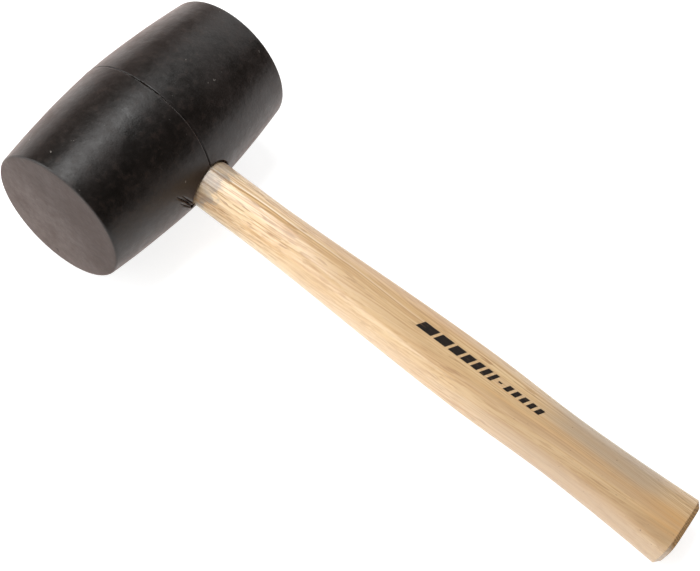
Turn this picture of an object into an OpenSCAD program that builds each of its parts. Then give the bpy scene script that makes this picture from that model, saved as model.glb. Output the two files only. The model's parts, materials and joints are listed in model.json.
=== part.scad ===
// Double-faced rubber mallet with a wedged hardwood handle.
// It lies on its side, the way it rests on a bench: X runs from the head to the butt of the
// handle, Y is the axis of the head, Z is up, and the origin is under the middle of its box.

/* [Rubber head] */
// Length of the head from one striking face to the other
head_l = 123; // [100:1:150]
// Diameter of the head at its middle, where the two mould halves meet
head_mid_d = 80; // [76:1:96]
// Diameter of each striking face
head_face_d = 70; // [60:1:74]
// How the barrel falls away from its middle: 2 is a plain bulge, less gives a crest
barrel_power = 1.7; // [1.3:0.1:2.4]
// Rounding of the edge between the barrel and each striking face
face_edge_r = 1.2; // [0.6:0.2:4]

/* [Eye and tenon] */
// Diameter of the handle's round neck, of its tenon and of the eye around them
neck_d = 24.2; // [20:0.2:26]
// Diameter of the wedged tenon at its top end, where the eye flares
flare_d = 26.8; // [26.4:0.2:30]
// Length of the flared top of the tenon
flare_l = 24; // [12:1:30]
// Distance from the head's axis to the flat top end of the tenon
tenon_top = 37.4; // [30:0.2:37.6]

/* [Handle] */
// Distance from the head's axis to the butt end
reach = 306; // [260:1:380]
// Distance from the head's axis to the end of the round neck
neck_end = 64; // [48:1:80]
// Where the palm swell is widest, as a share of the reach
swell_at = 0.635; // [0.5:0.005:0.7]
// Where the waist behind the swell is narrowest, as a share of the reach
waist_at = 0.785; // [0.74:0.005:0.88]
// Width of the palm swell
swell_w = 28.2; // [26.6:0.2:36]
// Width of the waist
waist_w = 26.2; // [24:0.2:30]
// Width of the flared butt
butt_w = 32; // [30:0.2:40]
// Thickness of the butt, across its flats
butt_t = 24; // [20:0.2:28]
// Squareness of the butt's section: 2 is an oval, more gives flatter sides
butt_power = 4; // [2.2:0.1:5]
// Chamfer around the butt end
butt_chamfer = 2.3; // [0.6:0.1:4]

/* [Wedges] */
// Depth of the saw kerf and of the wooden wedge in it
kerf_depth = 30; // [20:1:34]
// Thickness of the wooden wedge at the top of the tenon
kerf_top_t = 4.6; // [3:0.1:6]
// Thickness of the wooden wedge at its tip
kerf_tip_t = 1.2; // [0.6:0.1:2]
// Width of the steel wedge, which crosses the wooden one
steel_w = 15; // [8:0.5:18]
// Length of the steel wedge
steel_l = 19; // [12:1:22]
// Thickness of the steel wedge at its top
steel_top_t = 2.4; // [1.6:0.1:3.4]
// Thickness of the steel wedge at its tip
steel_tip_t = 0.6; // [0.4:0.1:1]
// Number of barbed steps along the steel wedge
steel_steps = 3; // [1:1:5]
// How far the steel wedge stands out of the tenon
steel_proud = 0.3; // [0:0.1:1]

/* [Hidden] */

$fn = 96;
mid_r = head_mid_d / 2;
face_r = head_face_d / 2;
half_l = head_l / 2;
barrel_steps = 24;
edge_steps = 6;
neck_r = neck_d / 2;
flare_r = flare_d / 2;
flare_start = -(tenon_top - flare_l);
past_surface = 2;

// The grip is a loft of rounded-rectangular rings, round at the neck and squarer at the butt.
ring_sides = 40;
ring_count = 26;
round_power = 2;
loft_overlap = 1;
loft_inset = 0.1;
neck_t = neck_d;
swell_x = swell_at * reach;
waist_x = waist_at * reach;
square_x = 0.7 * reach;
flare_power = 1.6;
tip_x = reach - butt_chamfer;

// How far each barb of the steel wedge stands past its taper.
barb_depth = 0.25;

// At rest the crest of the head and the lower edge of the butt touch the ground.
edge_reach = norm([tip_x, butt_t / 2]);
lie_angle = asin(mid_r / edge_reach) - atan2(butt_t / 2, tip_x);
front_x = reach * cos(lie_angle) + (butt_t / 2 - butt_chamfer) * sin(lie_angle);
head_x = (mid_r - front_x) / 2;

rubber_color = [0.13, 0.12, 0.115];
wood_color = [0.84, 0.69, 0.49];
wedge_color = [0.72, 0.53, 0.34];
steel_color = [0.62, 0.63, 0.65];

// Stands the head's frame on the ground, with the handle sloping down to its butt.
module laid_down() {
    translate([head_x, 0, mid_r])
        rotate([0, lie_angle, 0])
            children();
}

// ---- rubber head -------------------------------------------------------------------------

// Radius of the barrel at a distance y along the head's axis from its middle.
function barrel_r(y) = mid_r - (mid_r - face_r) * pow(abs(y) / half_l, barrel_power);

// Slope of the barrel where it meets the rounded edge of a striking face.
side_angle = atan((mid_r - face_r) * barrel_power / half_l);
side_y = half_l - face_edge_r + face_edge_r * sin(side_angle);
edge_centre_r = barrel_r(side_y) - face_edge_r * cos(side_angle);

barrel_side = [
    for (i = [-barrel_steps / 2 + 1 : barrel_steps / 2 - 1])
        let (y = side_y * 2 * i / barrel_steps)
            [barrel_r(y), y]
];
upper_edge = [
    for (i = [0 : edge_steps])
        let (a = side_angle + (90 - side_angle) * i / edge_steps)
            [edge_centre_r + face_edge_r * cos(a), half_l - face_edge_r + face_edge_r * sin(a)]
];
lower_edge = [for (i = [edge_steps : -1 : 0]) [upper_edge[i].x, -upper_edge[i].y]];

module barrel() {
    rotate([90, 0, 0])
        rotate_extrude()
            polygon(concat([[0, -half_l]], lower_edge, barrel_side, upper_edge, [[0, half_l]]));
}

// Solid of revolution about the handle's axis: a straight round that flares at its top end.
// It runs from x = -top to x = foot.
module eye_form(top, foot) {
    rotate([0, 90, 0])
        rotate_extrude()
            polygon([
                [0, -top],
                [flare_r, -top],
                [flare_r, -tenon_top],
                [neck_r, flare_start],
                [neck_r, foot],
                [0, foot]
            ]);
}

module rubber_head() {
    color(rubber_color)
        laid_down()
            difference() {
                barrel();
                eye_form(mid_r + past_surface, mid_r + past_surface);
            }
}

// ---- wedges ------------------------------------------------------------------------------

// The saw kerf, spread into a taper by the wooden wedge that fills it.
module kerf_form() {
    tip = -(tenon_top - kerf_depth);
    top = -(tenon_top + past_surface);
    grow = (kerf_top_t - kerf_tip_t) / kerf_depth;
    top_t = kerf_top_t + past_surface * grow;
    rotate([90, 0, 0])
        linear_extrude(flare_d + past_surface, center = true)
            polygon([[tip, -kerf_tip_t / 2], [tip, kerf_tip_t / 2], [top, top_t / 2], [top, -top_t / 2]]);
}

// Half thickness of the steel wedge at a share s of the way from its tip to its top.
function steel_half_t(s) = (steel_tip_t + (steel_top_t - steel_tip_t) * s) / 2;

// One face of the steel wedge: each step rises past the taper, then drops back as a barb.
steel_face = [
    for (i = [0 : steel_steps - 1])
        let (x0 = i / steel_steps, x1 = (i + 1) / steel_steps)
            each [[x0, steel_half_t(x0)], [x1, steel_half_t(x1) + (i < steel_steps - 1 ? barb_depth : 0)]]
];
steel_top_x = -(tenon_top + steel_proud);
steel_upper = [for (p = steel_face) [steel_top_x + steel_l * (1 - p.x), p.y]];
steel_lower = [for (i = [len(steel_upper) - 1 : -1 : 0]) [steel_upper[i].x, -steel_upper[i].y]];

module steel_form() {
    linear_extrude(steel_w, center = true)
        polygon(concat(steel_upper, steel_lower));
}

module wood_wedge() {
    color(wedge_color)
        laid_down()
            difference() {
                intersection() {
                    eye_form(tenon_top, 0);
                    kerf_form();
                }
                steel_form();
            }
}

module steel_wedge() {
    color(steel_color)
        laid_down()
            steel_form();
}

// ---- handle ------------------------------------------------------------------------------

// Smooth step from 0 at x0 to 1 at x1.
function ease(x, x0, x1) =
    let (t = min(max((x - x0) / (x1 - x0), 0), 1))
        t * t * (3 - 2 * t);

// Half width of the grip: neck, palm swell, waist and flared butt.
function half_w(x) =
    x < swell_x ? (neck_d + (swell_w - neck_d) * ease(x, neck_end, swell_x)) / 2
    : x < waist_x ? (swell_w + (waist_w - swell_w) * ease(x, swell_x, waist_x)) / 2
    : (waist_w + (butt_w - waist_w) * pow((x - waist_x) / (tip_x - waist_x), flare_power)) / 2;

// Half thickness of the grip, between its flats.
function half_t(x) = (neck_t + (butt_t - neck_t) * ease(x, neck_end, tip_x)) / 2;

function section_power(x) = round_power + (butt_power - round_power) * ease(x, neck_end, square_x);

// One coordinate of a rounded rectangle: the sign of c with its size raised to the power p.
function signed_pow(c, p) = sign(c) * pow(abs(c), p);

// Ring of points at x with the section that the grip has at s, pulled in by an inset all round.
function ring(x, s, inset) =
    let (p = 2 / section_power(s), w = half_w(s) - inset, t = half_t(s) - inset)
        [
            for (i = [0 : ring_sides - 1])
                let (a = 360 * i / ring_sides)
                    [x, w * signed_pow(cos(a), p), t * signed_pow(sin(a), p)]
        ];

loft_start = neck_end - loft_overlap;
loft_rings = [
    ring(loft_start, loft_start, loft_inset),
    for (i = [1 : ring_count])
        let (x = loft_start + (tip_x - loft_start) * i / ring_count)
            ring(x, x, 0),
    ring(reach, tip_x, butt_chamfer)
];

module grip_loft() {
    last = len(loft_rings) - 1;
    polyhedron(
        points = [for (r = loft_rings) each r],
        faces = [
            [for (i = [0 : ring_sides - 1]) i],
            for (k = [0 : last - 1])
                for (i = [0 : ring_sides - 1])
                    let (j = (i + 1) % ring_sides, a = k * ring_sides, b = a + ring_sides)
                        [a + j, a + i, b + i, b + j],
            [for (i = [ring_sides - 1 : -1 : 0]) last * ring_sides + i]
        ]
    );
}

module handle() {
    color(wood_color)
        laid_down()
            union() {
                difference() {
                    eye_form(tenon_top, neck_end);
                    kerf_form();
                    steel_form();
                }
                grip_loft();
            }
}

rubber_head();
handle();
wood_wedge();
steel_wedge();
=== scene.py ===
"""Looks of a double-faced rubber mallet with a wedged hardwood handle.

Each piece is built in the mallet's own frame, in millimetres: the origin is the middle of the
head, +X runs along the handle to its butt, +Y along the head's axis and +Z up through its crest.
solid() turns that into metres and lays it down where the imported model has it. Colours are linear.
"""

import json
import math

import bmesh
import bpy
from mathutils import Matrix, Vector, noise


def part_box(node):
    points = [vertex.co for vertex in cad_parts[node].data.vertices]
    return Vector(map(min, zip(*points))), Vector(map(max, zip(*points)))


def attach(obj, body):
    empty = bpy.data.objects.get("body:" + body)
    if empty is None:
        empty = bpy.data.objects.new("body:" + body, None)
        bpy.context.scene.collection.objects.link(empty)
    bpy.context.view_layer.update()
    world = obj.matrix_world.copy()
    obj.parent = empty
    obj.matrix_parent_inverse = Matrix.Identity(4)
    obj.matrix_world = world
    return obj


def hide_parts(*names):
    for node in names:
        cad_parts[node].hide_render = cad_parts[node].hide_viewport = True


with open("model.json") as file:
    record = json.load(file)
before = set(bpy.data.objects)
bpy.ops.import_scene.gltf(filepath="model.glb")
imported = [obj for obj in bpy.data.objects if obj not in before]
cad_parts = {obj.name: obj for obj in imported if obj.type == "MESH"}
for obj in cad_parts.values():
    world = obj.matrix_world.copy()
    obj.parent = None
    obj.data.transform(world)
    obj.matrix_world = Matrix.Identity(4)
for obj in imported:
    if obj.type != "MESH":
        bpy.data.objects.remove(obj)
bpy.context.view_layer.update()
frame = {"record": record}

MM = 0.001

# ---- the mallet's frame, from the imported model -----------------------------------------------

mounts = {m["name"]: m for m in frame["record"]["mounts"]}
head_low, head_high = (Vector(corner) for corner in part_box("rubber_head"))
head_centre = (head_low + head_high) / 2
mid_r = (head_high.z - head_low.z) / 2 / MM
half_l = (head_high.y - head_low.y) / 2 / MM
grip_axis = Vector(mounts["hand_grip"]["axis"])
lie_angle = math.atan2(-grip_axis.z, grip_axis.x)
mallet_frame = Matrix.Translation(head_centre) @ Matrix.Rotation(lie_angle, 4, "Y")

# ---- driving dimensions, millimetres ---------------------------------------------------------

# Rubber head
face_r = 35.0
barrel_power = 1.7
edge_r = 1.2
lip_r = 0.6
eye_gap = 0.8

# Eye, tenon and wedges
neck_r = 12.1
flare_r = 13.4
tenon_top = 37.4
flare_start = -13.4
kerf_depth = 30.0
kerf_top_t = 4.6
kerf_tip_t = 1.2
steel_w = 15.0
steel_l = 19.0
steel_top_t = 2.4
steel_tip_t = 0.6
steel_proud = 0.3
steel_steps = 3

# Handle
reach = 306.0
neck_end = 64.0
swell_x = 0.635 * reach
waist_x = 0.785 * reach
square_x = 0.7 * reach
swell_w = 28.2
waist_w = 26.2
butt_w = 32.0
butt_t = 24.0
butt_power = 4.0
flare_power = 1.6
chamfer = 2.3
tip_x = reach - chamfer

# Creases in the rubber beside the eye, on its handle side: y, z of the fine end, y, z of the deep
# end, depth
creases = [
    (-23.0, 12.6, -17.0, 3.6, 0.55),
    (-18.6, 6.0, -12.6, -5.2, 0.75),
    (-19.8, 10.6, -12.8, -1.8, 0.5),
    (-21.6, 7.0, -13.6, -5.0, 0.5),
]


def ease(x, x0, x1):
    """Smooth step from 0 at x0 to 1 at x1."""
    t = min(max((x - x0) / (x1 - x0), 0.0), 1.0)
    return t * t * (3 - 2 * t)


def mix(a, b, t):
    """The value a share t of the way from a to b."""
    return a + (b - a) * t


def bell(value, middle, width):
    """Smooth hump of height 1 at its middle."""
    return math.exp(-(((value - middle) / width) ** 2))


# ---- mesh helpers ----------------------------------------------------------------------------

# Faces that meet at a sharper turn than this, in degrees, keep a crisp edge between them.
soft_angle = 40


def solid(name, verts, faces):
    """Makes an object from millimetre points, with its faces outward, and lays it down."""
    mesh = bpy.data.meshes.new(name)
    mesh.from_pydata([mallet_frame @ (Vector(v) * MM) for v in verts], [], faces)
    shell = bmesh.new()
    shell.from_mesh(mesh)
    bmesh.ops.recalc_face_normals(shell, faces=shell.faces)
    shell.to_mesh(mesh)
    shell.free()
    made = bpy.data.objects.new(name, mesh)
    bpy.context.scene.collection.objects.link(made)
    return made


def cut(piece, tool):
    """Cuts the tool's solid out of a piece, and removes the tool."""
    modifier = piece.modifiers.new("slot", "BOOLEAN")
    modifier.operation = "DIFFERENCE"
    modifier.solver = "EXACT"
    modifier.object = tool
    graph = bpy.context.evaluated_depsgraph_get()
    piece.data = bpy.data.meshes.new_from_object(piece.evaluated_get(graph))
    piece.modifiers.clear()
    bpy.data.objects.remove(tool)


def piece_from(name, verts, faces, material, node=None, smooth_angle=soft_angle, slots=()):
    """Makes a piece, cuts its slots, hangs it on the root body, and hides the imported part that it
    replaces.
    """
    piece = solid(name, verts, faces)
    for tool_verts, tool_faces in slots:
        cut(piece, solid("slot_tool", tool_verts, tool_faces))
    piece.data.materials.clear()
    piece.data.materials.append(material)
    piece.data.set_sharp_from_angle(angle=math.radians(smooth_angle))
    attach(piece, "root")
    if node:
        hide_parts(node)
    return piece


def bridge(ring_a, ring_b):
    """Quads between two closed rings of vertex numbers."""
    n = len(ring_a)
    return [(ring_a[i], ring_a[(i + 1) % n], ring_b[(i + 1) % n], ring_b[i]) for i in range(n)]


def closed_loft(rings):
    """Points and faces of a solid through rings of equal length, with a flat cap at each end."""
    n = len(rings[0])
    verts = [p for ring in rings for p in ring]
    numbered = [list(range(k * n, k * n + n)) for k in range(len(rings))]
    faces = [tuple(numbered[0]), tuple(reversed(numbered[-1]))]
    for a, b in zip(numbered, numbered[1:]):
        faces.extend(bridge(b, a))
    return verts, faces


class Skin:
    """Points and faces of a surface that is built up ring by ring."""

    def __init__(self):
        self.verts = []
        self.faces = []

    def add(self, points):
        """Adds points and returns their numbers."""
        start = len(self.verts)
        self.verts.extend(points)
        return list(range(start, len(self.verts)))

    def grow(self, ring, points):
        """Joins a ring to a new one through the points, and returns the new one."""
        new = self.add(points)
        self.faces.extend(bridge(ring, new))
        return new


# ---- material helpers ------------------------------------------------------------------------


class Nodes:
    """A small builder for a material's node tree, whose place is a point of the mallet's frame."""

    def __init__(self, name):
        self.material = bpy.data.materials.new(name)
        self.material.use_nodes = True
        self.tree = self.material.node_tree
        self.tree.nodes.clear()
        self.shader = self.add("ShaderNodeBsdfPrincipled")
        out = self.add("ShaderNodeOutputMaterial")
        self.link(self.shader.outputs[0], out.inputs["Surface"])
        back = self.add("ShaderNodeMapping", vector_type="TEXTURE")
        back.inputs["Location"].default_value = head_centre
        back.inputs["Rotation"].default_value = (0.0, lie_angle, 0.0)
        self.link(self.add("ShaderNodeTexCoord").outputs["Object"], back.inputs["Vector"])
        self.place = back.outputs[0]

    def add(self, kind, **settings):
        made = self.tree.nodes.new(kind)
        for key, value in settings.items():
            setattr(made, key, value)
        return made

    def link(self, source, target):
        """Feeds a socket from another, or sets it when the source is a plain value."""
        if isinstance(source, (int, float, tuple)):
            target.default_value = source
        else:
            self.tree.links.new(source, target)

    def math(self, operation, a, b=0.0):
        made = self.add("ShaderNodeMath", operation=operation)
        self.link(a, made.inputs[0])
        self.link(b, made.inputs[1])
        return made.outputs[0]

    def plus(self, a, b):
        return self.math("ADD", a, b)

    def minus(self, a, b):
        return self.math("SUBTRACT", a, b)

    def times(self, a, b):
        return self.math("MULTIPLY", a, b)

    def away(self, value, middle):
        """How far a value is from a middle one."""
        return self.math("ABSOLUTE", self.minus(value, middle))

    def swing(self, texture, amount):
        """A texture's swing about its middle value, times an amount."""
        return self.times(self.minus(texture, 0.5), amount)

    def phase(self, value, pitch):
        """Place within a repeating pitch, from 0 to 1."""
        return self.math("FRACT", self.math("DIVIDE", value, pitch))

    def scaled(self, vector, scale, shift=(0, 0, 0)):
        made = self.add("ShaderNodeMapping")
        self.link(vector, made.inputs["Vector"])
        made.inputs["Scale"].default_value = scale
        made.inputs["Location"].default_value = shift
        return made.outputs[0]

    def vector(self, x, y, z):
        made = self.add("ShaderNodeCombineXYZ")
        for value, socket in zip((x, y, z), made.inputs):
            self.link(value, socket)
        return made.outputs[0]

    def length(self, vector):
        made = self.add("ShaderNodeVectorMath", operation="LENGTH")
        self.link(vector, made.inputs[0])
        return made.outputs["Value"]

    def dot(self, a, b):
        made = self.add("ShaderNodeVectorMath", operation="DOT_PRODUCT")
        self.link(a, made.inputs[0])
        self.link(b, made.inputs[1])
        return made.outputs["Value"]

    def stroke(self, x, y, start, end, width):
        """Mask of a stroke between two points of the x, y plane, fine at its start."""
        run = (end[0] - start[0], end[1] - start[1])
        long = math.hypot(*run)
        dx = self.minus(x, start[0])
        dy = self.minus(y, start[1])
        along = self.dot(self.vector(dx, dy, 0.0), (run[0] / long**2, run[1] / long**2, 0.0))
        along = self.math("MINIMUM", self.math("MAXIMUM", along, 0.0), 1.0)
        over = self.minus(dx, self.times(along, run[0]))
        up = self.minus(dy, self.times(along, run[1]))
        gap = self.length(self.vector(over, up, 0.0))
        half = self.span(along, 0.0, 1.0, 0.4 * width, width, smooth=False)
        return self.span(self.math("DIVIDE", gap, half), 1.0, 0.4)

    def noise(self, vector, scale, detail, rough, distortion=0.0):
        made = self.add("ShaderNodeTexNoise")
        self.link(vector, made.inputs["Vector"])
        made.inputs["Scale"].default_value = scale
        made.inputs["Detail"].default_value = detail
        made.inputs["Roughness"].default_value = rough
        made.inputs["Distortion"].default_value = distortion
        return made.outputs["Fac"]

    def grain(self, vector, scale, detail, rough, distortion=0.0, shift=(0, 0, 0)):
        """Noise with its own scale on each axis."""
        return self.noise(self.scaled(vector, scale, shift), 1.0, detail, rough, distortion)

    def span(self, value, low, high, to_low=0.0, to_high=1.0, smooth=True):
        made = self.add("ShaderNodeMapRange")
        made.interpolation_type = "SMOOTHSTEP" if smooth else "LINEAR"
        self.link(value, made.inputs["Value"])
        made.inputs["From Min"].default_value = low
        made.inputs["From Max"].default_value = high
        made.inputs["To Min"].default_value = to_low
        made.inputs["To Max"].default_value = to_high
        return made.outputs[0]

    def zone(self, place, start, full, to_low=0.0, to_high=1.0):
        """Mask that rises between two places, in millimetres."""
        return self.span(place, start * MM, full * MM, to_low, to_high)

    def fade(self, mask, to_low, to_high):
        """A mask turned into an amount between two others."""
        return self.span(mask, 0.0, 1.0, to_low, to_high)

    def blend(self, factor, a, b):
        made = self.add("ShaderNodeMix", data_type="RGBA")
        self.link(factor, made.inputs[0])
        self.link(a if not isinstance(a, tuple) else (*a, 1.0), made.inputs[6])
        self.link(b if not isinstance(b, tuple) else (*b, 1.0), made.inputs[7])
        return made.outputs[2]

    def axes(self):
        made = self.add("ShaderNodeSeparateXYZ")
        self.link(self.place, made.inputs[0])
        return made.outputs

    def bump(self, height, strength, distance, below=None):
        made = self.add("ShaderNodeBump")
        made.inputs["Strength"].default_value = strength
        made.inputs["Distance"].default_value = distance
        self.link(height, made.inputs["Height"])
        if below:
            self.link(below, made.inputs["Normal"])
        return made.outputs[0]

    def set(self, **values):
        for key, value in values.items():
            self.link(value, self.shader.inputs[key.replace("_", " ")])


# ---- rubber's looks --------------------------------------------------------------------------

rubber_black = (0.0026, 0.0023, 0.0017)
rubber_brown = (0.0080, 0.0053, 0.0041)
mottle_brown = (0.0160, 0.0096, 0.0070)
barrel_speck = (0.22, 0.20, 0.18)
crease_painted_shade = (0.0012, 0.0010, 0.0008)
face_lit_grey = (0.078, 0.064, 0.058)
face_dim_grey = (0.028, 0.023, 0.021)
face_mottle = (0.036, 0.029, 0.026)
face_mark = (0.014, 0.011, 0.010)
face_speck = (0.20, 0.18, 0.17)
sheen_tint = (1.0, 0.46, 0.29, 1.0)


def crease_mask(n, x, y, z):
    """Mask of the creases beside the eye, on the handle's side of the head, which carries their painted
    shade.
    """
    crease_shade = 0.0
    for y0, z0, y1, z1, depth in creases:
        mark = n.stroke(y, z, (y0 * MM, z0 * MM), (y1 * MM, z1 * MM), 1.1 * depth * MM)
        crease_shade = n.math("MAXIMUM", mark, crease_shade)
    return n.times(crease_shade, n.zone(x, 30, 34))


def rubber_material():
    """Moulded black rubber: satin barrel with faint brown mottling, scuffed grey striking faces."""
    n = Nodes("black_rubber")
    x, y, z = n.axes()
    face = n.zone(n.math("ABSOLUTE", y), half_l - 0.35, half_l - 0.08)
    cloud = n.noise(n.place, 45, 5, 0.62)
    mottle = n.noise(n.place, 260, 4, 0.62)
    grit = n.noise(n.place, 1500, 3, 0.6)
    specks = n.span(n.noise(n.place, 400, 3, 0.55, 0.4), 0.728, 0.758)

    barrel = n.blend(n.span(cloud, 0.32, 0.68), rubber_black, rubber_brown)
    barrel = n.blend(n.span(mottle, 0.50, 0.70, 0.0, 0.7), barrel, mottle_brown)
    barrel = n.blend(n.times(specks, 0.8), barrel, barrel_speck)
    # Painted shade: the creases beside the eye are darkened nearly to black.
    crease_shade = crease_mask(n, x, y, z)
    barrel = n.blend(n.times(crease_shade, 0.9), barrel, crease_painted_shade)

    # The faces are grey with wear, and painted light makes them lighter low down on the side away from
    # the handle.
    tone_field = n.plus(n.times(x, 0.55), n.times(z, 0.85))
    tone_field = n.plus(tone_field, n.swing(cloud, 60 * MM))
    flat = n.blend(n.zone(tone_field, -30, 14), face_lit_grey, face_dim_grey)
    flat = n.blend(n.span(mottle, 0.35, 0.7, 0.0, 0.35), flat, face_mottle)
    marks = n.grain(n.place, (70, 70, 190), 4, 0.7, 1.2)
    flat = n.blend(n.span(marks, 0.635, 0.70, 0.0, 0.8), flat, face_mark)
    flat = n.blend(n.times(specks, 0.5), flat, face_speck)
    n.set(Base_Color=n.blend(face, barrel, flat))

    gloss = n.plus(n.span(cloud, 0.3, 0.7, 0.33, 0.44), n.span(mottle, 0.3, 0.7, -0.04, 0.05))
    gloss = n.plus(gloss, n.times(face, 0.25))
    n.set(Roughness=n.plus(gloss, n.times(crease_shade, 0.55)), Specular_IOR_Level=0.42)
    n.set(Sheen_Weight=0.19, Sheen_Roughness=0.4, Sheen_Tint=sheen_tint)
    hide = n.bump(n.noise(n.place, 130, 3, 0.6), 0.5, 0.25 * MM)
    skin = n.bump(mottle, 0.5, 0.14 * MM, hide)
    n.set(Normal=n.bump(grit, 0.30, 0.04 * MM, skin))
    return n.material


# ---- handle's looks --------------------------------------------------------------------------

# Grain
wood_pale = (0.80, 0.58, 0.30)
wood_tan = (0.70, 0.445, 0.20)
streak_light = (0.86, 0.67, 0.42)
late_wood = (0.54, 0.28, 0.095)
line_brown = (0.37, 0.15, 0.035)
strand_brown = (0.44, 0.20, 0.06)
dash_brown = (0.45, 0.235, 0.08)
pore_brown = (0.33, 0.15, 0.04)
gleam_white = (0.95, 0.83, 0.66)

# Neck
neck_shade_tan = (0.58, 0.37, 0.185)
neck_dull = (0.46, 0.28, 0.125)
near_painted_light = (0.92, 0.76, 0.53)
far_painted_shade = (0.50, 0.27, 0.10)
rubber_dust = (0.245, 0.200, 0.168)

# Grip and ends
grip_grey = (0.56, 0.37, 0.215)
grip_band = (0.40, 0.245, 0.12)
grip_near_shade = (0.38, 0.25, 0.135)
grip_aged = (0.40, 0.315, 0.235)
butt_warm = (0.66, 0.37, 0.14)
pin_dark = (0.16, 0.09, 0.045)
end_light = (0.66, 0.38, 0.14)
end_dark = (0.42, 0.215, 0.075)
end_pore = (0.12, 0.07, 0.035)

pith_y = 45.0
pith_z = 40.0
ring_pitch = 1.9
strand_pitch = 1.35
gleam_y = 2.3


def fibre_line(n, x, y):
    """Sideways place of a fibre: it drifts along the handle, more on the near side than the far."""
    sway = n.grain(n.place, (11, 60, 60), 2, 0.5)
    near = n.zone(y, 8, -11)
    drift = n.times(n.minus(x, 100 * MM), n.times(near, 0.07))
    return n.plus(n.minus(y, drift), n.swing(sway, 5 * MM))


def growth_rings(n, fibre, cross, z):
    """Place within a growth ring: the distance from a pith that runs beside and above the handle."""
    wobble = n.grain(fibre, (14, 160, 160), 2, 0.5)
    rings = n.length(n.vector(0.0, n.minus(cross, pith_y * MM), n.minus(z, pith_z * MM)))
    return n.phase(n.plus(rings, n.swing(wobble, 0.7 * MM)), ring_pitch * MM)


def strands(n, fibre, cross, z):
    """Lines finer than the rings, which come and go along the fibres."""
    sheet = n.plus(n.times(cross, 0.9), n.times(z, 0.45))
    ripple = n.grain(fibre, (12, 200, 200), 2, 0.5)
    part = n.phase(n.plus(sheet, n.swing(ripple, 0.9 * MM)), strand_pitch * MM)
    lines = n.times(n.span(part, 0.0, 0.10), n.span(part, 0.46, 0.28))
    weight = n.grain(fibre, (12, 420, 420), 2, 0.55, shift=(0.5, 0.2, 0.1))
    return n.times(lines, n.span(weight, 0.42, 0.58))


def neck_tones(n, colour, x, y):
    """The neck has painted shade over the middle of its length, where a duller band also runs along its
    near side, painted light that makes its near side paler, and painted shade that makes its far side
    browner.
    """
    # Painted shade: darker over the middle of the neck's length.
    middle = n.times(n.zone(x, 65, 115), n.zone(x, 210, 160, 0.0, 0.55))
    colour = n.blend(middle, colour, neck_shade_tan)
    dull = n.zone(n.away(y, -8 * MM), 5, 2, 0.0, 0.35)
    colour = n.blend(n.times(dull, middle), colour, neck_dull)
    neck = n.times(n.zone(x, 50, 70), n.zone(x, 195, 150))
    # Painted light: the near side of the neck is paler.
    near_lit = n.zone(y, -10, -12, 0.0, 0.16)
    colour = n.blend(n.times(near_lit, neck), colour, near_painted_light)
    # Painted shade: the far side is browner.
    far_shaded = n.zone(y, 5, 10.5, 0.0, 0.56)
    return n.blend(n.times(far_shaded, n.zone(x, 230, 180)), colour, far_painted_shade)


def grip_tones(n, colour, fibre, x, y, grip, streaks):
    """The grip is greyer and browner in long soft bands, aged on its far side, warm at the butt, and
    has painted shade along its near side.
    """
    grey = n.span(n.grain(fibre, (5, 95, 95), 2, 0.5), 0.38, 0.62, 0.40, 0.80)
    colour = n.blend(n.times(grip, grey), colour, grip_grey)
    bands = n.span(n.grain(fibre, (6, 260, 260), 3, 0.6), 0.44, 0.62, 0.0, 0.42)
    colour = n.blend(n.times(grip, bands), colour, grip_band)
    # Painted shade: a darker band along the grip's near, lower side.
    side = n.zone(y, -7, -13, 0.0, 0.40)
    colour = n.blend(n.times(grip, side), colour, grip_near_shade)
    aged = n.times(n.zone(x, 215, 245), n.zone(x, 300, 278))
    aged = n.times(aged, n.zone(y, -3, 3, 0.0, 0.60))
    colour = n.blend(aged, colour, grip_aged)
    warm = n.times(n.zone(x, 272, 300), n.zone(n.away(y, -4 * MM), 9, 3))
    colour = n.blend(n.times(warm, n.fade(streaks, 0.35, 0.7)), colour, butt_warm)
    pins = n.times(n.span(n.grain(n.place, (750, 1000, 1000), 1, 0.5), 0.755, 0.79), grip)
    return n.blend(n.times(pins, 0.7), colour, pin_dark)


def dust_mask(n, x, fine):
    """Black dust from the rubber, rubbed into the wood at the eye, and less of it low down."""
    smudge = n.grain(n.place, (190, 260, 260), 5, 0.65)
    upward = n.dot(n.place, (0.0, -0.17 / neck_r / MM, 0.98 / neck_r / MM))
    edge = n.span(upward, 0.30, 0.60, 43 * MM, 48 * MM)
    beyond = n.plus(x, n.swing(smudge, 22 * MM))
    dust = n.zone(n.minus(beyond, edge), 2.6, -3.0)
    dust = n.times(dust, n.span(smudge, 0.35, 0.65, 0.78, 0.50))
    return n.times(dust, n.span(fine, 0.35, 0.6, 1.0, 0.85))


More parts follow.
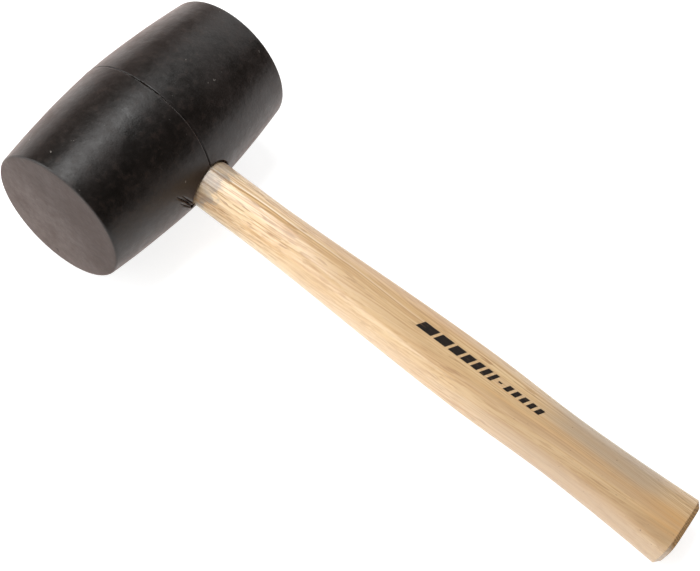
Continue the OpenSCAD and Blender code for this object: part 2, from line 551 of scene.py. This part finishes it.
def wood_material():
    """Pale open-pored hardwood under a thin lacquer, dirty at the eye and raw at both ends."""
    n = Nodes("lacquered_wood")
    x, y, z = n.axes()
    cross = fibre_line(n, x, y)
    fibre = n.vector(x, cross, z)

    # Growth rings, each with a soft late band and a thin line that is stronger on the far side.
    part = growth_rings(n, fibre, cross, z)
    late = n.times(n.span(part, 0.0, 0.08), n.span(part, 0.9, 0.12))
    weight = n.span(n.grain(fibre, (6, 170, 170), 2, 0.6), 0.40, 0.60)
    farther = n.fade(n.zone(y, -5, 3), 0.45, 1.0)
    line = n.times(n.span(part, 0.02, 0.07), n.span(part, 0.28, 0.14))
    line = n.times(line, n.times(weight, farther))

    # Broad tones, streaks, fine dashes, short open pores, and a painted highlight: a thin bright line
    # along the top of the neck.
    broad = n.span(n.grain(fibre, (7, 150, 150), 3, 0.55, 0.1), 0.38, 0.62)
    streaks = n.span(n.grain(fibre, (9, 700, 700), 3, 0.65), 0.42, 0.58)
    strand = strands(n, fibre, cross, z)
    fine = n.grain(fibre, (24, 1350, 1350), 2, 0.6)
    patchy = n.grain(fibre, (14, 200, 200), 2, 0.5, shift=(0.3, 0.1, 0.7))
    pores = n.span(n.grain(fibre, (85, 1250, 1250), 1, 0.5), 0.59, 0.64)
    pores = n.times(pores, n.span(patchy, 0.60, 0.42, 0.3, 1.0))
    pale = n.zone(n.away(cross, gleam_y * MM), 0.32, 0.14)
    pale = n.times(n.times(pale, n.zone(z, 8, 10)), n.zone(x, 185, 140))

    # The grain is calmer on the grip than on the neck.
    grip = n.zone(x, 150, 250)
    calm = n.fade(grip, 1.0, 0.85)
    colour = n.blend(broad, wood_pale, wood_tan)
    colour = n.blend(n.times(streaks, 0.5), colour, streak_light)
    colour = n.blend(n.times(late, 0.16), colour, late_wood)
    colour = n.blend(n.times(line, n.fade(grip, 0.85, 0.50)), colour, line_brown)
    colour = n.blend(n.times(strand, n.fade(grip, 0.80, 0.50)), colour, strand_brown)
    dashes = n.times(n.span(fine, 0.38, 0.45, 0.72, 0.0), calm)
    colour = n.blend(dashes, colour, dash_brown)
    colour = n.blend(n.times(pores, n.times(calm, 0.80)), colour, pore_brown)
    # Painted highlight: the thin bright line along the top of the neck.
    colour = n.blend(n.times(pale, 0.8), colour, gleam_white)
    colour = neck_tones(n, colour, x, y)
    colour = grip_tones(n, colour, fibre, x, y, grip, streaks)
    dust = dust_mask(n, x, fine)
    colour = n.blend(dust, colour, rubber_dust)

    # Bare end grain at the butt and at the top of the tenon.
    butt_grain = n.zone(x, reach - 2.6, reach - 2.0)
    tenon_grain = n.zone(x, 0.8 - tenon_top, 0.3 - tenon_top)
    ends = n.math("MAXIMUM", butt_grain, tenon_grain)
    ends = n.times(ends, n.zone(y, -14, -11, 0.25, 1.0))
    end_pores = n.span(n.noise(n.place, 1500, 2, 0.6), 0.52, 0.62)
    raw = n.blend(late, end_light, end_dark)
    raw = n.blend(n.times(end_pores, 0.6), raw, end_pore)
    n.set(Base_Color=n.blend(ends, colour, raw))

    gloss = n.plus(n.span(fine, 0.3, 0.7, 0.46, 0.40), n.times(dust, 0.12))
    n.set(Roughness=n.plus(gloss, n.times(ends, 0.35)))
    n.set(Coat_Weight=n.times(n.minus(1.0, ends), 0.75), Coat_Roughness=0.15)
    grooves = n.plus(n.times(pores, -1.0), n.times(fine, 0.5))
    stipple = n.grain(n.place, (700, 1100, 1100), 2, 0.6)
    n.set(Normal=n.bump(grooves, 0.35, 0.06 * MM))
    n.set(Coat_Normal=n.bump(n.plus(grooves, stipple), 0.35, 0.05 * MM))
    return n.material


# ---- rubber head -----------------------------------------------------------------------------

# A four-sided window of fine cells lies round each eye; the rest of the barrel has wider ones.
window_cells = 80
window_y = 23.0
window_angle = math.radians(27)
side_cells = 84
outer_rows = 28
half_turn = window_cells + side_cells
columns = 2 * half_turn
first_row = outer_rows
last_row = outer_rows + window_cells

edge_steps = 7
face_rings = 18
patch_rings = 34
lip_steps = 5
bore_places = (24.0, 10.0, flare_start, -26.0, 8.0 - tenon_top)
head_soft_angle = 50

# Share of the window's rows that is evenly spaced, and the power of the rest
row_even = 0.18
row_power = 2.2

# The mould line: how far its groove wanders and how deep it is, each as millimetres at an angle
# from +X over a width in degrees, then the flash beside it and the step across it
seam_wander = ((1.2, 95, 28), (0.3, 165, 25))
seam_depths = ((0.75, 94, 22), (0.6, 22, 17), (0.4, 160, 16))
seam_least = 0.22
seam_rough = 0.25
groove_half = 0.36
flash_rise = 0.03
flash_place = 0.9
flash_width = 0.35
step_rise = 0.06
step_width = 0.4
step_reach = 8.0

# The skin: half width of a crease, then the rise and size of a broad swell and of a finer one
crease_half = 0.38
broad_rise = 0.10
broad_size = 19.0
fine_rise = 0.035
fine_size = 6.0
fine_shift = Vector((7, 3, 1))


def barrel_r(y):
    """Radius of the barrel, which swells from its faces to the mould line."""
    return mid_r - (mid_r - face_r) * (abs(y) / half_l) ** barrel_power


side_angle = math.atan((mid_r - face_r) * barrel_power / half_l)
side_y = half_l - edge_r + edge_r * math.sin(side_angle)
edge_centre_r = barrel_r(side_y) - edge_r * math.cos(side_angle)


def seam(y, angle):
    """Rise and fall of the mould line: deep on the crest and towards both mouths of the eye."""
    turn = math.degrees(angle)
    across = y + sum(size * bell(turn, place, width) for size, place, width in seam_wander)
    depth = seam_least + sum(size * bell(turn, place, width) for size, place, width in seam_depths)
    depth += seam_rough * noise.noise(Vector((4 * math.cos(angle), 4 * math.sin(angle), 3)))
    groove = depth * math.exp(-((across / groove_half) ** 4))
    flash = flash_rise * bell(abs(across), flash_place, flash_width)
    step = -step_rise * math.tanh(across / step_width) * bell(across, 0, step_reach)
    return flash + step - groove


def creased(y, z):
    """Depth of the creases where the skin puckers beside the eye."""
    total = 0.0
    for y0, z0, y1, z1, depth in creases:
        dy, dz = y1 - y0, z1 - z0
        t = ((y - y0) * dy + (z - z0) * dz) / (dy * dy + dz * dz)
        if -0.1 < t < 1.2:
            gap = ((y - y0) * dz - (z - z0) * dy) / math.hypot(dy, dz)
            total += 1.5 * depth * bell(gap, 0, crease_half) * ease(t, -0.1, 0.5)
    return total


def uneven(x, y, z):
    """Slight unevenness of the moulded skin: a broad swell and a finer one."""
    place = Vector((x, y, z))
    broad = broad_rise * noise.noise(place / broad_size)
    return broad + fine_rise * noise.noise(place / fine_size + fine_shift)


def on_barrel(y, angle):
    """Point of the barrel's skin at y and at an angle from +X towards +Z."""
    r = barrel_r(y)
    x, z = r * math.cos(angle), r * math.sin(angle)
    r += seam(y, angle) + uneven(x, y, z)
    if x > 0:
        r -= creased(y, z)
    return (r * math.cos(angle), y, r * math.sin(angle))


def row_places():
    """y of each row: even outside the windows, and drawn together at the mould line within."""
    half = []
    for i in range(window_cells // 2 + 1):
        t = i / (window_cells // 2)
        half.append(window_y * mix(t ** row_power, t, row_even))
    inner = [-y for y in reversed(half[1:])] + half
    outer = [window_y + (side_y - window_y) * (i / outer_rows) for i in range(1, outer_rows + 1)]
    return [-y for y in reversed(outer)] + inner + outer


def column_angles():
    """Angle of each column, from the first edge of the window on the handle's side."""
    angles = []
    gap = math.pi - 2 * window_angle
    for centre in (0.0, math.pi):
        for i in range(window_cells):
            angles.append(centre + window_angle * (2 * i / window_cells - 1))
        for i in range(side_cells):
            angles.append(centre + window_angle + gap * i / side_cells)
    return angles


def barrel_grid(skin, angles, rows):
    """The barrel's skin with both windows left open; returns the vertex at each column and row."""
    grid = {}
    for j, y in enumerate(rows):
        for i, angle in enumerate(angles):
            inside = 0 < i % half_turn < window_cells and first_row < j < last_row
            if not inside:
                grid[i, j] = skin.add([on_barrel(y, angle)])[0]
    for j in range(len(rows) - 1):
        for i in range(columns):
            inside = i % half_turn < window_cells and first_row <= j < last_row
            if not inside:
                beside = (i + 1) % columns
                corners = ((i, j), (beside, j), (beside, j + 1), (i, j + 1))
                skin.faces.append(tuple(grid[c] for c in corners))
    return grid


def striking_face(skin, ring, end, angles):
    """Closes one end of the barrel: an arc round the edge, then flat rings to the middle."""
    profile = []
    for k in range(1, edge_steps + 1):
        a = side_angle + (math.pi / 2 - side_angle) * k / edge_steps
        profile.append((edge_centre_r + edge_r * math.cos(a), half_l - edge_r + edge_r * math.sin(a)))
    for k in range(1, face_rings):
        profile.append((edge_centre_r * (1 - k / face_rings), half_l))
    for r, y in profile:
        ring = skin.grow(ring, [(r * math.cos(a), end * y, r * math.sin(a)) for a in angles])
    middle = skin.add([(0, end * half_l, 0)])[0]
    for a, b in zip(ring, ring[1:] + ring[:1]):
        skin.faces.append((a, b, middle))


def window_edge(grid, base):
    """Vertices round a window whose first column is given."""
    edge = [(base + i, first_row) for i in range(window_cells)]
    edge += [(base + window_cells, first_row + j) for j in range(window_cells)]
    edge += [(base + window_cells - i, last_row) for i in range(window_cells)]
    edge += [(base, last_row - j) for j in range(window_cells)]
    return [grid[i % columns, j] for i, j in edge]


def eye_mouth(skin, ring, sign, radius):
    """Patch from a window's edge to the round eye, then a lip that turns into the bore."""
    starts = [skin.verts[v] for v in ring]
    turn = [math.atan2(z, y) for _, y, z in starts]
    rim_r = radius + lip_r
    for k in range(1, patch_rings + 1):
        t = 1 - (1 - k / patch_rings) ** 1.3
        points = []
        for (_, start_y, start_z), a in zip(starts, turn):
            y = mix(start_y, rim_r * math.cos(a), t)
            z = mix(start_z, rim_r * math.sin(a), t)
            angle = math.asin(max(-1, min(1, z / barrel_r(y))))
            points.append(on_barrel(y, angle if sign > 0 else math.pi - angle))
        ring = skin.grow(ring, points)
    rim = [skin.verts[v] for v in ring]
    for k in range(1, lip_steps + 1):
        a = math.pi / 2 * k / lip_steps
        r = radius + lip_r * (1 - math.sin(a))
        sunk = sign * lip_r * (1 - math.cos(a))
        points = [(x - sunk, r * math.cos(b), r * math.sin(b)) for (x, _, _), b in zip(rim, turn)]
        ring = skin.grow(ring, points)
    return ring, turn


def rubber_head():
    """The head: barrel, striking faces, and the eye that runs through it."""
    angles = column_angles()
    rows = row_places()
    skin = Skin()
    grid = barrel_grid(skin, angles, rows)
    for end, row in ((-1, 0), (1, len(rows) - 1)):
        striking_face(skin, [grid[i, row] for i in range(columns)], end, angles)
    ring, turn = eye_mouth(skin, window_edge(grid, 0), 1, neck_r + eye_gap)
    back, back_turn = eye_mouth(skin, window_edge(grid, half_turn), -1, flare_r + eye_gap)

    # The bore is straight at the handle's side and flared towards the tenon's top, where each of
    # its points joins the one at the nearest angle round the back mouth.
    for x in bore_places:
        r = tenon_r(x)
        ring = skin.grow(ring, [(x, r * math.cos(a), r * math.sin(a)) for a in turn])
    nearest = []
    for a in turn:
        gaps = [abs(math.remainder(b - a, 2 * math.pi)) for b in back_turn]
        nearest.append(back[gaps.index(min(gaps))])
    skin.faces.extend(bridge(ring, nearest))
    material = rubber_material()
    return piece_from(
        "rubber_head_skin", skin.verts, skin.faces, material, "rubber_head", head_soft_angle
    )


# ---- handle ----------------------------------------------------------------------------------

ring_sides = 160
ring_gap = 1.5
tenon_round = 0.4
round_rings = 4
chamfer_rings = 5
tenon_cap_shares = (0.05, 0.3, 0.6, 0.85)
butt_cap_shares = (0.9, 0.7, 0.45, 0.2, 0.04)


def half_w(x):
    """Half the handle's width: round neck, swell, waist, then the flare to the butt."""
    if x < swell_x:
        return (2 * neck_r + (swell_w - 2 * neck_r) * ease(x, neck_end, swell_x)) / 2
    if x < waist_x:
        return (swell_w + (waist_w - swell_w) * ease(x, swell_x, waist_x)) / 2
    return (waist_w + (butt_w - waist_w) * ((x - waist_x) / (tip_x - waist_x)) ** flare_power) / 2


def half_t(x):
    """Half the handle's thickness."""
    return (2 * neck_r + (butt_t - 2 * neck_r) * ease(x, neck_end, tip_x)) / 2


def section_power(x):
    """Power of the section's superellipse: 2 is round, and more is squarer."""
    return 2 + (butt_power - 2) * ease(min(x, tip_x), neck_end, square_x)


def section(x, inset, angle):
    """Point of the grip's section at x."""
    s = min(x, tip_x)
    power = 2 / section_power(x)
    c, d = math.cos(angle), math.sin(angle)
    y = (half_w(s) - inset) * math.copysign(abs(c) ** power, c)
    z = (half_t(s) - inset) * math.copysign(abs(d) ** power, d)
    return (x, y, z)


def tenon_r(x):
    """Radius of the tenon, and of the bore that it fills: straight, then flared at the top."""
    if x > flare_start:
        return neck_r
    return mix(neck_r, flare_r, (flare_start - x) / (flare_start + tenon_top))


def kerf_half(x):
    """Half the thickness of the saw kerf and of the wooden wedge in it."""
    return mix(kerf_top_t, kerf_tip_t, (x + tenon_top) / kerf_depth) / 2


def steel_half(x):
    """Half the thickness of the steel wedge's taper."""
    return mix(steel_top_t, steel_tip_t, (x + tenon_top + steel_proud) / steel_l) / 2


def slab(start, end):
    """Tapered block between two sections, each with its x, half width and half thickness."""
    corners = ((1, 1), (-1, 1), (-1, -1), (1, -1))
    return closed_loft([[(x, cy * y, cz * z) for cy, cz in corners] for x, y, z in (start, end)])


# The tools that cut the slots run past the tenon by this much, and the kerf's past its sides too.
slot_clear = 1.0
slot_top = -tenon_top - slot_clear
kerf_side = flare_r + slot_clear
kerf_end = -tenon_top + kerf_depth
steel_end = -tenon_top - steel_proud + steel_l
kerf_slot = slab((slot_top, kerf_side, kerf_half(slot_top)), (kerf_end, kerf_side, kerf_half(kerf_end)))
steel_slot = slab(
    (slot_top, steel_half(slot_top), steel_w / 2),
    (steel_end, steel_half(steel_end), steel_w / 2),
)


def handle():
    """The wooden handle: flared tenon slotted for its wedges, round neck, squared grip."""
    turns = [2 * math.pi * i / ring_sides for i in range(ring_sides)]

    def circle(x, r):
        return [(x, r * math.cos(a), r * math.sin(a)) for a in turns]

    rings = [circle(-tenon_top, flare_r * share) for share in tenon_cap_shares]
    for k in range(round_rings):
        a = math.pi / 2 * k / round_rings
        inset = tenon_round * (1 - math.sin(a))
        rings.append(circle(-tenon_top + tenon_round * (1 - math.cos(a)), flare_r - inset))
    count = int((neck_end + tenon_top) / ring_gap)
    for i in range(count + 1):
        x = mix(-tenon_top + tenon_round, neck_end, i / count)
        rings.append(circle(x, tenon_r(x)))
    count = int((tip_x - neck_end) / ring_gap)
    for i in range(1, count + 1):
        x = mix(neck_end, tip_x, i / count)
        rings.append([section(x, 0, a) for a in turns])
    for i in range(1, chamfer_rings + 1):
        t = i / chamfer_rings
        rings.append([section(mix(tip_x, reach, t), chamfer * t, a) for a in turns])
    butt = rings[-1]
    for share in butt_cap_shares:
        rings.append([(reach, share * y, share * z) for _, y, z in butt])
    verts, faces = closed_loft(rings)
    slots = (kerf_slot, steel_slot)
    return piece_from("handle_wood", verts, faces, wood_material(), "handle", slots=slots)


# ---- wedges ----------------------------------------------------------------------------------

wedge_rings = 20
wedge_rim = 0.25
wedge_cells = 12
wedge_soft_angle = 30
barb_depth = 0.25
steel_corner = 0.25
corner_steps = 4

stock_pale = (0.62, 0.43, 0.23)
stock_brown = (0.40, 0.245, 0.115)
stock_streak = (0.33, 0.20, 0.09)
stock_pore = (0.16, 0.09, 0.045)
steel_light = (0.46, 0.45, 0.43)
steel_dull = (0.33, 0.31, 0.29)
rust_brown = (0.17, 0.085, 0.045)


def wedge_wood_material():
    """Plain pale wedge stock, its crushed end grain showing in the eye."""
    n = Nodes("wedge_wood")
    along = n.grain(n.place, (60, 900, 900), 3, 0.6)
    layers = n.grain(n.place, (40, 70, 1500), 3, 0.6, 0.4)
    pores = n.span(n.noise(n.place, 1900, 2, 0.6), 0.56, 0.66)
    colour = n.blend(n.span(layers, 0.35, 0.65), stock_pale, stock_brown)
    colour = n.blend(n.span(along, 0.5, 0.7, 0.0, 0.5), colour, stock_streak)
    colour = n.blend(n.times(pores, 0.5), colour, stock_pore)
    n.set(Base_Color=colour, Roughness=n.span(layers, 0.3, 0.7, 0.62, 0.78))
    n.set(Normal=n.bump(n.minus(layers, pores), 0.4, 0.12 * MM))
    return n.material


def wedge_steel_material():
    """Mild steel, dented by the hammer that drove it and browned in patches."""
    n = Nodes("wedge_steel")
    dents = n.noise(n.place, 420, 3, 0.55)
    scratch = n.grain(n.place, (2500, 300, 2500), 2, 0.6)
    rust = n.span(n.noise(n.place, 650, 4, 0.65), 0.54, 0.68)
    colour = n.blend(n.span(dents, 0.3, 0.7), steel_light, steel_dull)
    n.set(Base_Color=n.blend(n.times(rust, 0.7), colour, rust_brown))
    n.set(Metallic=n.fade(rust, 1.0, 0.35))
    n.set(Roughness=n.plus(n.span(scratch, 0.3, 0.7, 0.30, 0.46), n.times(rust, 0.35)))
    n.set(Normal=n.bump(scratch, 0.25, 0.05 * MM, n.bump(dents, 0.6, 0.25 * MM)))
    return n.material


def wood_wedge():
    """The wooden wedge: a taper across the whole tenon that ends on the bore's wall."""

    def outline(x, inset):
        half = kerf_half(x) - inset
        r = tenon_r(x) - inset
        ring = []
        for side in (1, -1):
            for i in range(wedge_cells + 1):
                z = side * mix(-half, half, i / wedge_cells)
                ring.append((x, side * math.sqrt(r * r - z * z), z))
        return ring

    rings = [outline(-tenon_top, wedge_rim), outline(-tenon_top + wedge_rim, 0)]
    for k in range(1, wedge_rings + 1):
        rings.append(outline(mix(-tenon_top, kerf_end, k / wedge_rings), 0))
    verts, faces = closed_loft(rings)
    material = wedge_wood_material()
    slots = (steel_slot,)
    return piece_from(
        "crossing_wood_wedge", verts, faces, material, "wood_wedge", wedge_soft_angle, slots
    )


def steel_wedge():
    """The steel wedge: a rounded plate whose faces step out to barbs, its struck edge eased."""

    def outline(x, half_y, half_z):
        ring = []
        for quarter in range(4):
            cy = (half_y - steel_corner) * (1, -1, -1, 1)[quarter]
            cz = (half_z - steel_corner) * (1, 1, -1, -1)[quarter]
            for i in range(corner_steps + 1):
                a = math.pi / 2 * (quarter + i / corner_steps)
                ring.append((x, cy + steel_corner * math.cos(a), cz + steel_corner * math.sin(a)))
        return ring

    rings = []
    for i in range(steel_steps):
        for share, barb in ((i / steel_steps, 0.0), ((i + 1) / steel_steps, barb_depth)):
            x = steel_end - steel_l * share
            rings.append(outline(x, steel_half(x) + barb, steel_w / 2))
    top = steel_end - steel_l
    rings[-1] = outline(top + wedge_rim, steel_half(top), steel_w / 2)
    rings.append(outline(top, steel_half(top) - wedge_rim, steel_w / 2 - wedge_rim))
    verts, faces = closed_loft(rings)
    material = wedge_steel_material()
    return piece_from(
        "driven_steel_wedge", verts, faces, material, "steel_wedge", wedge_soft_angle
    )


# ---- printed mark ----------------------------------------------------------------------------

mark_start = 158.0
mark_middle_y = 0.6
mark_lean = 0.55
bold_widths = (8.4, 6.6, 5.2, 4.2, 3.4, 2.7, 2.1)
bold_gap = 1.5
bold_half = 2.3
dash_width = 1.8
dash_gap = 1.7
dash_half = 0.4
light_bars = 5
light_width = 2.6
light_gap = 1.6
light_half = 1.7
ink_cell = 0.35
ink_rise = 0.05
ink_sink = 0.05

ink_black = (0.010, 0.0075, 0.006)
ink_worn = (0.020, 0.014, 0.011)
ink_pore = (0.17, 0.095, 0.05)


def top_z(x, y):
    """Height of the grip's upper surface."""
    power = section_power(x)
    share = min(abs(y) / half_w(x), 1.0)
    return half_t(x) * (1 - share ** power) ** (1 / power)


def ink_bar(skin, x0, x1, half_h):
    """Thin closed bar of ink that follows the wood, leaning forward like a parallelogram."""
    low_y = mark_middle_y - half_h
    high_y = mark_middle_y + half_h
    steps_x = max(2, int((x1 - x0) / ink_cell))
    steps_y = max(2, int((high_y - low_y) / ink_cell))
    points = []
    for lift in (ink_rise, -ink_sink):
        for j in range(steps_y + 1):
            y = mix(low_y, high_y, j / steps_y)
            for i in range(steps_x + 1):
                x = mix(x0, x1, i / steps_x) + mark_lean * (y - low_y)
                points.append((x, y, top_z(x, y) + lift))
    start = skin.add(points)[0]
    row = steps_x + 1
    layer = row * (steps_y + 1)
    for j in range(steps_y):
        for i in range(steps_x):
            a = start + j * row + i
            quad = (a, a + 1, a + 1 + row, a + row)
            skin.faces.append(quad)
            skin.faces.append(tuple(v + layer for v in reversed(quad)))
    edge = list(range(row))
    edge += [j * row + row - 1 for j in range(1, steps_y + 1)]
    edge += [steps_y * row + i for i in range(row - 2, -1, -1)]
    edge += [j * row for j in range(steps_y - 1, 0, -1)]
    for a, b in zip(edge, edge[1:] + edge[:1]):
        skin.faces.append((start + b, start + a, start + a + layer, start + b + layer))


def ink_material():
    """Dark print, rubbed thin over the open pores of the wood."""
    n = Nodes("print_ink")
    thin = n.grain(n.place, (90, 1300, 1300), 3, 0.6)
    tone_field = n.noise(n.place, 420, 3, 0.6)
    colour = n.blend(n.span(tone_field, 0.3, 0.7), ink_black, ink_worn)
    n.set(Base_Color=n.blend(n.span(thin, 0.58, 0.68, 0.0, 0.8), colour, ink_pore))
    n.set(Roughness=n.span(tone_field, 0.3, 0.7, 0.6, 0.75), Specular_IOR_Level=0.15)
    n.set(Normal=n.bump(thin, 0.3, 0.03 * MM))
    return n.material


def printed_mark():
    """A plain decorative band: a row of bold leaning bars, a dash and a row of light bars."""
    skin = Skin()
    x = mark_start
    for width in bold_widths:
        ink_bar(skin, x, x + width, bold_half)
        x += width + bold_gap
    x += bold_gap
    ink_bar(skin, x, x + dash_width, dash_half)
    x += dash_width + dash_gap
    for _ in range(light_bars):
        ink_bar(skin, x, x + light_width, light_half)
        x += light_width + light_gap
    return piece_from("printed_band", skin.verts, skin.faces, ink_material())


# ---- stage -----------------------------------------------------------------------------------

camera_lens = 73.91
camera_sensor = 36.0
camera_place = Vector((0.14579, -0.31654, 0.58937))
camera_forward = Vector((-0.23760, 0.47890, -0.84510)).normalized()
camera_up = Vector((-0.54462, 0.65472, 0.52414))

floor_half = 9.0
floor_grey = (0.45, 0.45, 0.45, 1.0)
floor_glow = 0.84
sky_strength = 0.05
white = (1.0, 1.0, 1.0, 1.0)


def camera():
    """The camera, with its up direction squared to the way it looks."""
    data = bpy.data.cameras.new("camera")
    data.sensor_width = camera_sensor
    data.lens = camera_lens
    data.clip_start = 0.01
    cam = bpy.data.objects.new("camera", data)
    bpy.context.scene.collection.objects.link(cam)
    right = camera_forward.cross(camera_up).normalized()
    up = right.cross(camera_forward)
    facing = Matrix((right, up, -camera_forward)).transposed().to_4x4()
    cam.matrix_world = Matrix.Translation(camera_place) @ facing
    bpy.context.scene.camera = cam


def softbox(name, place, target, size, radiance):
    """Rectangular soft light of a given radiance, facing its target."""
    data = bpy.data.lights.new(name, "AREA")
    data.shape = "RECTANGLE"
    data.size, data.size_y = size
    data.energy = radiance * math.pi * size[0] * size[1]
    lamp = bpy.data.objects.new(name, data)
    bpy.context.scene.collection.objects.link(lamp)
    direction = (Vector(target) - Vector(place)).normalized()
    facing = direction.to_track_quat("-Z", "Y").to_matrix().to_4x4()
    lamp.matrix_world = Matrix.Translation(Vector(place)) @ facing


def floor():
    """A pale floor with some light of its own, so that it is nearly white."""
    mesh = bpy.data.meshes.new("floor")
    corners = [(x * floor_half, y * floor_half, 0) for x, y in ((-1, -1), (1, -1), (1, 1), (-1, 1))]
    mesh.from_pydata(corners, [], [(0, 1, 2, 3)])
    n = Nodes("floor")
    n.set(Base_Color=floor_grey, Roughness=0.9)
    n.set(Emission_Color=white, Emission_Strength=floor_glow)
    mesh.materials.append(n.material)
    ground = bpy.data.objects.new("floor", mesh)
    bpy.context.scene.collection.objects.link(ground)


def stage():
    """Floor, faint sky and the soft lights."""
    floor()
    world = bpy.data.worlds.new("world")
    bpy.context.scene.world = world
    world.use_nodes = True
    sky = world.node_tree.nodes["Background"]
    sky.inputs["Color"].default_value = white
    sky.inputs["Strength"].default_value = sky_strength
    softbox("key", (-0.415, -0.01, 1.3), (-0.415, -0.01, 0), (0.45, 1.10), 8.2)
    softbox("key_end", (-0.46, -0.72, 1.3), (-0.46, -0.72, 0), (0.34, 0.30), 7.4)
    softbox("left", (-1.3, 0.5, 0.10), (0.0, 0.1, 0.1), (2.4, 0.2), 1.4)
    softbox("front", (-0.9, -1.3, 0.8), (-0.05, 0, 0), (1.8, 1.3), 3.8)
    softbox("back", (-0.4, 1.8, 0.85), (0, 0, 0), (1.8, 1.3), 2.2)
    bpy.context.scene.view_settings.view_transform = "Standard"


camera()
stage()
rubber_head()
handle()
wood_wedge()
steel_wedge()
printed_mark()
